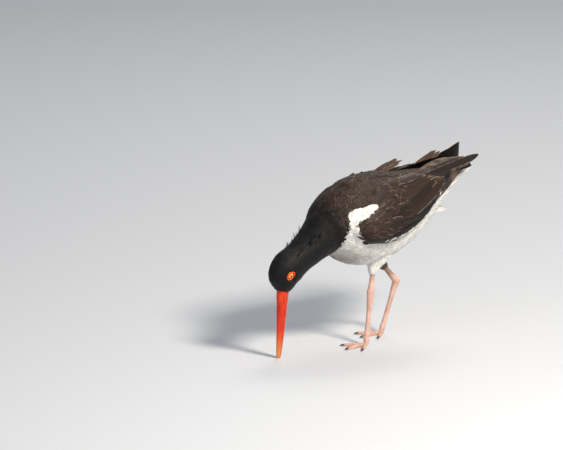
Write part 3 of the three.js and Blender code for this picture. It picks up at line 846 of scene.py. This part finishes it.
def edge_feathers(wing, side):
    """White flank feathers that lap over the wing's lower edge, with black ones between them."""
    rows = []
    for tone, count, start, stop in ((WHITE, 46, -88, -66), (BLACK, 40, -62, -92), (BLACK, 22, -70, -100)):
        u = spread(count, 0.27, 0.74, 0.02)
        roots = u, start + rng.uniform(-3, 3, count)
        tips = u + rng.uniform(0.03, 0.06, count), stop + rng.uniform(-7, 7, count)
        rows.append(wing_row(wing, side, roots, tips, 4.2, 1.6, tone, 0, outline=COVERT))
    return rows


def arm_feathers(wing, side):
    """Black flight feathers of the arm, which show along the lower edge."""
    roots = spread(12, 0.14, 0.56), spread(12, -60, -44)
    tips = spread(12, 0.40, 0.90), spread(12, -76, -40, 1)
    return wing_row(wing, side, roots, tips, 13, 1.0, BLACK, 0.1, outline=BLADE, columns=5)


def long_inner_feathers(wing, side):
    """Long feathers over the rear of the wing, striped by their pale edges."""
    face = blade_face(side)
    n = np.arange(8)
    angle = -16 + 12.0 * n
    root = wing.point(0.44 + 0.010 * n, -14 + 11.5 * n) - face * 0.8 * MM
    middle = wing.point(0.60 - 0.006 * n, angle) + face * 2.2 * MM
    end = wing.point(0.86 - 0.022 * n, -22 + 13.0 * n) + face * (1.2 + 0.2 * n)[:, None] * MM
    return feather_row(root, middle, end, wing.outward(np.full(8, 0.6), angle), 12.5,
                       BROWN * rng.uniform(0.4, 1.0, (8, 1)), rng.uniform(0.3, 0.8, 8),
                       (spread(8, 0.7, 0.85), 0.5 + side * 0.2),
                       outline=BLADE, columns=5, thick=0.2, camber=0.06)


def lifted_feathers():
    """Tufts of narrow brown feathers that stand up from the far wing."""
    stops = np.repeat(np.array(LIFTED, dtype=float), LIFTED_TUFT, axis=0)
    stops += rng.normal(0, 1, stops.shape) * np.array([[[0.6, 2.0, 0.6], [0.9, 3.2, 1.8]]])
    stops *= MM
    count = len(stops)
    middle = stops.mean(1) + np.array([0, 0, 1.5 * MM])
    return feather_row(stops[:, 0], middle, stops[:, 1], unit(np.array([0.75, -0.5, 0.5])),
                       rng.uniform(2.5, 4.5, count), BROWN * rng.uniform(0.8, 2.6, (count, 1)),
                       rng.uniform(0.4, 1.3, count), (0.5, 0.2), outline=COVERT, thick=0.12, camber=0.02)


def covert_tiers(wing, side):
    """Coverts in tiers, smaller and closer toward the front."""
    rows = []
    for count, u0, u1, low, high, reach, width, rise, brownness, pale in TIERS:
        tone = DARK_BROWN * (1 - brownness) + BROWN * brownness
        u = spread(count, u0, u1, 0.01)
        angle = spread(count, low, high, 3)
        tips = u + reach * rng.uniform(0.85, 1.2, count), angle - 5 + rng.uniform(-5, 5, count)
        rows.append(wing_row(wing, side, (u, angle), tips, width, rise, tone, pale, outline=COVERT))
    return rows


def shoulder_tiers(wing, side):
    """Shoulder feathers along the upper edge, over the roots of the long inner ones."""
    rows = []
    for tier, (u0, u1, level) in enumerate(SHOULDER):
        u = spread(SHOULDER_COUNT, u0, u1, 0.012)
        reach = (0.17 - 0.015 * tier) * rng.uniform(0.85, 1.2, SHOULDER_COUNT)
        roots = u, spread(SHOULDER_COUNT, level - 26, level + 24, 3)
        tips = u + reach, spread(SHOULDER_COUNT, level - 30, level + 20, 5)
        rows.append(wing_row(wing, side, roots, tips, 11 - 0.8 * tier, 1.7, BROWN, 1.0, outline=COVERT))
    return rows


for word, side in SIDES.items():
    wing = ARMS[word]
    rows = [hand_feathers(wing, word, side), inner_hand_feathers(side)]
    rows += edge_feathers(wing, side)
    rows += [arm_feathers(wing, side), long_inner_feathers(wing, side)]
    if word == "right":
        rows.append(lifted_feathers())
    rows += covert_tiers(wing, side)
    rows += shoulder_tiers(wing, side)
    coat_piece(f"wing_{word}_feathers", rows, (f"wing_{word}",))


# Feathers under the tail: long, soft and white, from the vent almost to the end of the tail.
# They hang a little below the wings' edge, and some stand off in loose tufts.
VENT_COUNT = 150
along = spread(VENT_COUNT, 0, 1, 0.05)
aside = rng.uniform(-1, 1, VENT_COUNT)
flat = np.zeros(VENT_COUNT)
end = np.column_stack([8 * aside, 250 + 40 * along, 158.5 + 32 * along - 5 * along * (1 - along)])
end += rng.normal(0, 1, (VENT_COUNT, 3)) * np.array([0.8, 2.2, 1.2])
root = np.column_stack([(12 - 5 * along) * aside, 222 + 36 * along, 149 + 27 * along])
middle = (root + end) / 2 + np.array([0, 0, -1.2])
tufts = rng.random(VENT_COUNT) < 0.3
tuft_root = np.column_stack([9 * aside, 222 + 6 * along, 147 + 3 * along])
tuft_end = np.column_stack([11 * aside, 244 + 8 * along, 142 + 8 * along])
tuft_end += rng.normal(0, 2.0, (VENT_COUNT, 3))
root[tufts] = tuft_root[tufts]
end[tufts] = tuft_end[tufts]
middle[tufts] = ((root + end) / 2 + np.array([0, 0, -2.0]))[tufts]
facing = unit(np.column_stack([1.8 * aside, flat + 0.25, flat - 0.55]))
vent_row = feather_row(root * MM, middle * MM, end * MM, facing, rng.uniform(4.0, 6.5, VENT_COUNT),
                       WHITE * rng.uniform(0.85, 1.1, (VENT_COUNT, 1)), 0,
                       (0.8 + 0.15 * along, 0.5 + 0.1 * aside), outline=COVERT, thick=0.12, camber=0.05)
coat_piece("coat_vent", [vent_row])


# Tail: twelve stiff feathers in a shallow fan, white at the root and black toward the end.
# The middle pair lies on top, and each outer one is tucked under the one inside it.
TAIL_SIDE_COUNT = 6
TAIL_LENGTH = 40
# Root of the innermost feather: aside, back and up
TAIL_ROOT = (0.8, 248, 191.4)
# Degrees from each feather to the next
TAIL_FAN = 3.2
# The left feather of each pair lies this much over the right one
TAIL_LAP = 0.15

tail_rows = []
n = np.arange(TAIL_SIDE_COUNT)
level = np.ones(TAIL_SIDE_COUNT)
for side in SIDES.values():
    turn = np.radians(2 + TAIL_FAN * n) * side
    aside, behind, above = TAIL_ROOT
    lap = TAIL_LAP if side > 0 else 0
    root = np.column_stack([side * (aside + 1.5 * n), behind * level, above - 0.3 * n + lap]) * MM
    reach = (TAIL_LENGTH - 0.6 * n) * MM
    end = root + np.column_stack([np.sin(turn) * reach, np.cos(turn) * reach, (7.6 - 0.5 * n) * MM])
    middle = (root + end) / 2 + np.array([0, 0, 0.3 * MM])
    facing = unit(np.column_stack([side * 0.05 * n, -0.2 * level, level]))
    row = feather_row(root, middle, end, facing, 12.5, BLACK, 0.15, (0.98, 0.5 + side * 0.02 * (n + 1)),
                      outline=BLADE, columns=5, thick=0.2, camber=0.05)
    rooted = 1 - ramp(row["points"][:, 1] / MM, 256, 262)
    row["colour"] = blend(row["colour"], np.tile(WHITE, (len(rooted), 1)), rooted)
    tail_rows.append(row)
coat_piece("tail_feathers", tail_rows, ("tail",))


# Bill: two long blades of horn, flat from side to side, closed along a fine straight mouth line.
# Orange-red with a yellower, worn tip, and a long nostril slit in a groove on each side.
BILL_STEPS = 90
BILL_SIDES = 16
# From the feathers to the tip: y and z of the middle, depth ahead and behind, and half the width
BILL = ((7.2, 89, 6.4, 5.8, 4.4), (7, 82, 8.3, 7.7, 6), (6.2, 72, 7.9, 7.4, 5.6), (5, 58, 6.8, 6.6, 4.7),
        (3.6, 40, 5.8, 5.8, 3.6), (2.1, 22, 5, 5.2, 2.6), (0.8, 8, 4.1, 4.3, 1.9), (0, 0, 2.8, 2.9, 1.35))
# The mouth line is straight: its y at one height, and its slope
MOUTH_Y = 4.6
MOUTH_Z = 40
MOUTH_SLOPE = 0.085
MOUTH_GAP = 0.44
NOSTRIL = (5.35 * MM, 2.9 * MM, 69 * MM)
NOSTRIL_SIZE = (1.3 * MM, 0.75 * MM, 6.5 * MM, 1)
NOSTRIL_TILT = -0.05


def mandible(front):
    """Points and faces of one blade: a rounded outer side and a flat side at the mouth."""
    turn = -1 if front else 1
    rings = []
    for y, z, ahead, behind, wide in through(BILL, BILL_STEPS):
        lip = MOUTH_Y + MOUTH_SLOPE * (z - MOUTH_Z) + turn * MOUTH_GAP / 2
        deep = ahead if front else behind
        start = math.asin(max(-0.95, min(0.95, (lip - y) * turn / deep)))
        ring = []
        for k in range(BILL_SIDES + 1):
            a = start + (math.pi - 2 * start) * k / BILL_SIDES
            bulge = 1 + 0.07 * math.sin(2 * a) ** 2
            ring.append((wide * math.cos(a) * bulge, y + turn * deep * math.sin(a), z))
        # The flat side is very slightly crowned
        ring += [(x * 0.45, lip - turn * 0.05, z) for x in (ring[-1][0], ring[0][0])]
        rings.append(ring)
    points = np.array(rings).reshape(-1, 3) * MM
    return points, tube_faces(len(rings) - 1, len(rings[0]))


def faced_out(piece):
    """Merges doubles and turns every face outward."""
    shape = bmesh.new()
    shape.from_mesh(piece.data)
    bmesh.ops.remove_doubles(shape, verts=shape.verts, dist=1e-7)
    bmesh.ops.recalc_face_normals(shape, faces=shape.faces)
    shape.to_mesh(piece.data)
    shape.free()
    return piece


def cut_nostril(blade, side):
    """Cuts a long slit in one side of the upper blade."""
    bpy.ops.mesh.primitive_uv_sphere_add(segments=24, ring_count=12)
    slit = bpy.context.object
    x, y, z = NOSTRIL
    place = Matrix.Translation((side * x, y, z))
    slit.matrix_world = place @ Matrix.Rotation(NOSTRIL_TILT, 4, "X") @ Matrix.Diagonal(NOSTRIL_SIZE)
    cut = blade.modifiers.new("nostril", "BOOLEAN")
    cut.object = slit
    cut.solver = "EXACT"
    applied(blade)
    bpy.data.objects.remove(slit)


horn = Finish("bill_horn", Specular_IOR_Level=0.35, Coat_Weight=0.06)
place = horn.place()
height = horn.split("XYZ", place)[2]
streaks = horn.noise(horn.stretched(place, (1, 1, 0.12)), 900, 4)
blotches = horn.noise(place, 120)
red = horn.mix((0.54, 0.018, 0.001), (0.68, 0.052, 0.002), blotches.between(0.35, 0.7))
worn = horn.mix(red, (0.62, 0.30, 0.10), (1 - height.between(0.004, 0.034)) * (0.35 + streaks * 0.5))
scuffed = horn.mix(worn, (0.30, 0.06, 0.02), streaks.between(0.62, 0.8) * 0.35)
horn.use(Base_Color=scuffed, Roughness=0.26 + streaks * 0.22, Normal=horn.relief(streaks, 0.16, 0.0004))

for name, front in (("bill_upper", True), ("bill_lower", False)):
    blade = faced_out(link_mesh(f"{name}_horn", *mandible(front)))
    if front:
        cut_nostril(blade, 1)
        cut_nostril(blade, -1)
    clad(blade, horn.material)
    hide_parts(name)
    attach(blade, "root")


# Eyes: a yellow-orange iris with a small black pupil under a clear wet surface.
# Each sits in a ring of bare, grained, red-orange skin that closes on the ball.
EYE = Vector((11.5, 6.4, 101.4)) * MM
EYE_RADIUS = 5.2 * MM
BALL_SHARE = 0.96
RING_PLACE = Vector((14.9, 6.4, 99.8)) * MM
RING_SLOPE = math.radians(24)
RING_STEPS = 72
# Section of the ring from the face inward: distance from its axis and height over its plane
RING_PROFILE = ((5.3, -3.2), (5.55, -1.2), (5.5, -0.2), (5.35, 0.4), (5.1, 0.8), (4.8, 0.95), (4.5, 0.85),
                (4.3, 0.55), (4.15, 0.15), (4.05, -0.4), (4.05, -2.4))


def wet_iris(name, middle, facing):
    """Iris and pupil, painted by the angle between the eye's axis and the way to the surface."""
    wet = Finish(name, Roughness=0.06, Coat_Weight=1.0, Coat_Roughness=0.02, Specular_IOR_Level=0.6)
    place = wet.place()
    offset = wet.node("VectorMath", {"operation": "SUBTRACT"}, {0: place, 1: middle[:]})
    depth = wet.node("VectorMath", {"operation": "DOT_PRODUCT"}, {0: offset, 1: facing[:]}, "Value")
    reach = wet.node("VectorMath", {"operation": "LENGTH"}, {0: offset}, "Value")
    ratio = depth / reach
    rays = wet.noise(place, 700, 2)
    iris = wet.mix((0.80, 0.20, 0.006), (0.92, 0.46, 0.015), (ratio + rays * 0.04).between(0.72, 0.88))
    wet.use(Base_Color=wet.mix(iris, (0.003, 0.003, 0.003), ratio.between(0.935, 0.95)))
    return wet.material


def eye_ring(side, facing):
    """Points and faces of the ring, a little longer across one diagonal, with small notches along its rim."""
    place = Vector((RING_PLACE.x * side, RING_PLACE.y, RING_PLACE.z))
    turn = Vector((side, 0, 0)).rotation_difference(facing).to_matrix()
    tube = len(RING_PROFILE)
    points = []
    for i in range(RING_STEPS):
        a = 2 * math.pi * i / RING_STEPS
        for radius, height in RING_PROFILE:
            radius += 0.06 * math.sin(19 * a) * (height > 0)
            reach = radius * (0.98 + 0.17 * math.cos(2 * a - math.radians(90)))
            local = Vector((side * height, reach * math.sin(a), reach * math.cos(a))) * MM
            points.append(turn @ local + place)
    faces = []
    for i in range(RING_STEPS):
        this, following = i * tube, (i + 1) % RING_STEPS * tube
        for k in range(tube):
            beside = (k + 1) % tube
            faces.append((this + k, this + beside, following + beside, following + k))
    return points, faces


bare_skin = Finish("ring_skin", Roughness=0.42, Coat_Weight=0.1,
                   Subsurface_Weight=0.1, Subsurface_Scale=0.001)
place = bare_skin.place()
grains = bare_skin.node("TexVoronoi", {}, {"Vector": place, "Scale": 2200})
blush = bare_skin.noise(place, 300).between(0.3, 0.7)
bare_skin.use(Base_Color=bare_skin.mix((0.70, 0.035, 0.006), (0.90, 0.12, 0.012), blush),
              Normal=bare_skin.relief(grains, 0.5, 0.0003))

for word, side in SIDES.items():
    facing = Vector((math.cos(RING_SLOPE), 0, -math.sin(RING_SLOPE)))
    facing.x *= side
    middle = Vector((EYE.x * side, EYE.y, EYE.z))
    bpy.ops.mesh.primitive_uv_sphere_add(segments=48, ring_count=32, radius=EYE_RADIUS * BALL_SHARE)
    ball = bpy.context.object
    ball.name = f"eye_{word}_ball"
    ball.data.transform(Matrix.Translation(middle))
    clad(ball, wet_iris(f"iris_{word}", middle, facing))
    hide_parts(f"eye_{word}")
    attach(ball, "root")

    ring = faced_out(link_mesh(f"eye_ring_{word}_skin", *eye_ring(side, facing)))
    clad(ring, bare_skin.material)
    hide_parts(f"eye_ring_{word}")
    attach(ring, "root")


# Legs: bare pale pink shanks with a knobby heel, covered in small close scales, and three toes each.
# The skin is fused in one piece for each leg, with pads under the toes and a small web on the outer side.
LEGS = {
    "left": {"turn": 6, "knee": (15, 134.5, 92), "heel": (14, 131, 62), "foot": (18, 121, 5.5)},
    "right": {"turn": 4, "knee": (-14, 171, 88), "heel": (-12.5, 194, 62), "foot": (-17, 176, 5.5)},
}
LEG_GRAIN = 0.55 * MM
# Shank: 0 at the knee, 1 at the heel, 2 at the foot, with its radius across and along the bird
SHANK = ((0.06, 2.7, 3.0), (0.55, 2.9, 3.3), (0.86, 3.5, 4.1), (1.0, 4.3, 4.8), (1.14, 3.4, 3.9),
         (1.5, 2.5, 3.0), (1.85, 2.8, 3.2), (1.95, 3.3, 3.7), (2.06, 2.7, 3.2))
# Toes: angle outward, share of the middle toe's length, and radius
TOES = (("inner", -36, 0.84, 2.3), ("middle", 0, 1.0, 2.5), ("outer", 34, 0.9, 2.3))
MIDDLE_TOE = 33
# Pads and joints along a toe: place along it and share of its radius
TOE_SHAPE = ((0, 1.25), (0.16, 0.98), (0.30, 1.0), (0.42, 0.86), (0.55, 1.02), (0.66, 0.84), (0.80, 0.92),
             (0.90, 0.80), (1.0, 0.58))
# Corners of the web as angle and reach from the middle of the foot, and its lower and upper side
WEB = ((2, 3), (3, 12), (17, 9), (31, 11), (32, 3))
WEB_HEIGHTS = (0.4, 2.0)
# A claw from its root to its tip: place along it, height over the floor, and radius across and along
CLAW = ((0, 1.9, 1.15, 1.2), (0.35, 2.2, 1.1, 1.2), (0.7, 1.8, 0.75, 0.9), (1, 0.8, 0.18, 0.2))
CLAW_LENGTH = 6.7
CLAW_ROOT = 2.4
# The soles are flat at this height over the floor
FLOOR_CLEARANCE = 0.02 * MM
SCUTE_SIDES = 10
SCUTE_RINGS = 6
# The shank's plates run down its front, this far from its middle
SCUTES_AHEAD = np.array([0, -2.05, 0])


def limb(points, radii, steps, sides):
    """Points and faces of a limb through points in millimetres, with radii across and along the bird."""
    line = through(points, steps + 1)
    sizes = through(radii, steps + 1)
    along = unit(np.gradient(line, axis=0))
    across = unit(np.cross(along, (0, 1, 0.35)))
    fore = np.cross(across, along)
    a = np.arange(sides) * 2 * np.pi / sides
    rings = (line[:, None] + across[:, None] * (np.cos(a) * sizes[:, :1])[..., None]
             + fore[:, None] * (np.sin(a) * sizes[:, 1:])[..., None])
    return rings.reshape(-1, 3) * MM, tube_faces(steps, sides)


def toe_point(leg, outward, reach, height):
    """A point in millimetres, at an angle and a distance from the middle of the foot."""
    x, y, _ = leg["foot"]
    angle = math.radians(leg["turn"] + outward * math.copysign(1, x))
    return x + math.sin(angle) * reach, y - math.cos(angle) * reach, height


def shank_point(leg, t):
    """A point on the middle of the shank, from the knee at 0 by the heel at 1 to the foot at 2."""
    knee, heel, foot = (np.array(leg[key], dtype=float) for key in ("knee", "heel", "foot"))
    return knee + (heel - knee) * t if t <= 1 else heel + (foot - heel) * (t - 1)


def toe(leg, outward, share, radius):
    """Points and faces of one toe."""
    long = MIDDLE_TOE * share
    line = [toe_point(leg, outward, t * long, max(1.3, swell * radius * 0.78)) for t, swell in TOE_SHAPE]
    return limb(line, [(swell * radius, swell * radius * 0.92) for _, swell in TOE_SHAPE], 50, 18)


def web(leg):
    """Points and faces of the small web between the outer and middle toes."""
    count = len(WEB)
    points = [toe_point(leg, outward, reach, height) for height in WEB_HEIGHTS for outward, reach in WEB]
    ends = [tuple(range(count))[::-1], tuple(range(count, 2 * count))]
    walls = [(k, (k + 1) % count, count + (k + 1) % count, count + k) for k in range(count)]
    return np.array(points) * MM, ends + walls


scaly = Finish("leg_skin", Subsurface_Weight=0.12, Subsurface_Scale=0.002, Specular_IOR_Level=0.45)
place = scaly.place()
cells = scaly.node("TexVoronoi", {"feature": "DISTANCE_TO_EDGE"},
                   {"Vector": scaly.stretched(place, (1, 1, 0.7)), "Scale": 620})
seams = 1 - cells.between(0.02, 0.16)
pink = scaly.mix((0.62, 0.36, 0.28), (0.76, 0.53, 0.44), scaly.noise(place, 90).between(0.35, 0.7))
across, _, high = scaly.split("XYZ", place)
# Painted shade: the far leg is darkened above its heel, where the body's shadow falls on it
far_leg_shade = high.between(0.066, 0.074) * (1 - across.between(-0.008, -0.004))
shaded = scaly.mix(pink, (0.20, 0.115, 0.085), far_leg_shade * 0.8)
scaly.use(Base_Color=scaly.mix(shaded, (0.42, 0.22, 0.16), seams * 0.5), Roughness=0.42 + seams * 0.25,
          Normal=scaly.relief(cells.between(0.0, 0.2), 0.4, 0.0003))

dark_horn = Finish("claw_horn", Roughness=0.32, Specular_IOR_Level=0.5)
grain = dark_horn.noise(dark_horn.stretched(dark_horn.place(), (1, 0.2, 1)), 1500)
dark_horn.use(Base_Color=dark_horn.mix((0.016, 0.012, 0.010), (0.07, 0.05, 0.04), grain),
              Normal=dark_horn.relief(grain, 0.2, 0.0002))


def scute_row(name, line, spacing, size):
    """Overlapping horny plates set along a line by geometry nodes, then made a plain mesh."""
    curve = bpy.data.curves.new(name, "CURVE")
    curve.dimensions = "3D"
    spline = curve.splines.new("POLY")
    spline.points.add(len(line) - 1)
    for point, place in zip(spline.points, line):
        point.co = (*place, 1)
    piece = bpy.data.objects.new(name, curve)
    bpy.context.collection.objects.link(piece)
    tree = bpy.data.node_groups.new(name, "GeometryNodeTree")
    sockets = {}
    for label, kind in (("Line", "Geometry"), ("Spacing", "Float"), ("Size", "Vector")):
        socket = tree.interface.new_socket(label, in_out="INPUT", socket_type="NodeSocket" + kind)
        sockets[label] = socket.identifier
    tree.interface.new_socket("Plates", in_out="OUTPUT", socket_type="NodeSocketGeometry")

    def node(kind, values, **settings):
        made = tree.nodes.new(kind)
        for key, value in settings.items():
            setattr(made, key, value)
        for key, value in values.items():
            if isinstance(value, bpy.types.NodeSocket):
                tree.links.new(value, made.inputs[key])
            else:
                made.inputs[key].default_value = value
        return made.outputs

    given = node("NodeGroupInput", {})
    points = node("GeometryNodeResampleCurve", {"Curve": given["Line"], "Length": given["Spacing"]},
                  mode="LENGTH")
    plate = node("GeometryNodeMeshUVSphere", {"Segments": SCUTE_SIDES, "Rings": SCUTE_RINGS, "Radius": 1.0})
    along = node("GeometryNodeInputTangent", {})
    turn = node("FunctionNodeAlignRotationToVector", {"Vector": along[0]}, axis="Z", pivot_axis="X")
    placed = node("GeometryNodeInstanceOnPoints", {"Points": points[0], "Instance": plate[0],
                                                   "Rotation": turn[0], "Scale": given["Size"]})
    plates = node("GeometryNodeRealizeInstances", {"Geometry": placed[0]})
    dressed = node("GeometryNodeSetMaterial", {"Geometry": plates[0], "Material": scaly.material})
    node("NodeGroupOutput", {"Plates": dressed[0]})
    grow = piece.modifiers.new("plates", "NODES")
    grow.node_group = tree
    grow[sockets["Spacing"]] = spacing
    grow[sockets["Size"]] = size
    shape = bpy.data.meshes.new_from_object(piece.evaluated_get(bpy.context.evaluated_depsgraph_get()))
    bpy.data.objects.remove(piece)
    shape.shade_smooth()
    row = bpy.data.objects.new(name, shape)
    bpy.context.collection.objects.link(row)
    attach(row, "root")


for word, leg in LEGS.items():
    shank = limb([shank_point(leg, t) for t, _, _ in SHANK], [radii for _, *radii in SHANK], 90, 24)
    solids = [shank] + [toe(leg, *shape) for _, *shape in TOES] + [web(leg)]
    leg_skin = moulded(f"leg_{word}_skin", solids, LEG_GRAIN, passes=3)
    points = vertex_values(leg_skin.data, "co")
    points[:, 2] = np.maximum(points[:, 2], FLOOR_CLEARANCE)
    move_points(leg_skin.data, points)
    clad(leg_skin, scaly.material)
    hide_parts(f"shank_{word}", f"foot_{word}")
    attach(leg_skin, "root")

    front = [(shank_point(leg, t) + SCUTES_AHEAD) * MM for t in (1.1, 1.3, 1.5, 1.7, 1.9)]
    scute_row(f"scutes_{word}_shank", front, 1.7 * MM, (1.75 * MM, 1.1 * MM, 1.05 * MM))
    for name, outward, share, radius in TOES:
        top = [toe_point(leg, outward, t * MIDDLE_TOE * share, radius * 1.35) for t in (0.12, 0.5, 0.88)]
        plate_size = (radius * 0.72 * MM, 0.55 * MM, 0.95 * MM)
        scute_row(f"scutes_{word}_{name}", np.array(top) * MM, 1.5 * MM, plate_size)
    for name, outward, share, _ in TOES:
        start = MIDDLE_TOE * share - CLAW_ROOT
        line = [toe_point(leg, outward, start + t * CLAW_LENGTH, height) for t, height, _, _ in CLAW]
        nail = limb(line, [radii for _, _, *radii in CLAW], 24, 14)
        claw = faced_out(link_mesh(f"claw_{word}_{name}_horn", *nail))
        clad(claw, dark_horn.material)
        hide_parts(f"claw_{word}_{name}")
        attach(claw, "root")
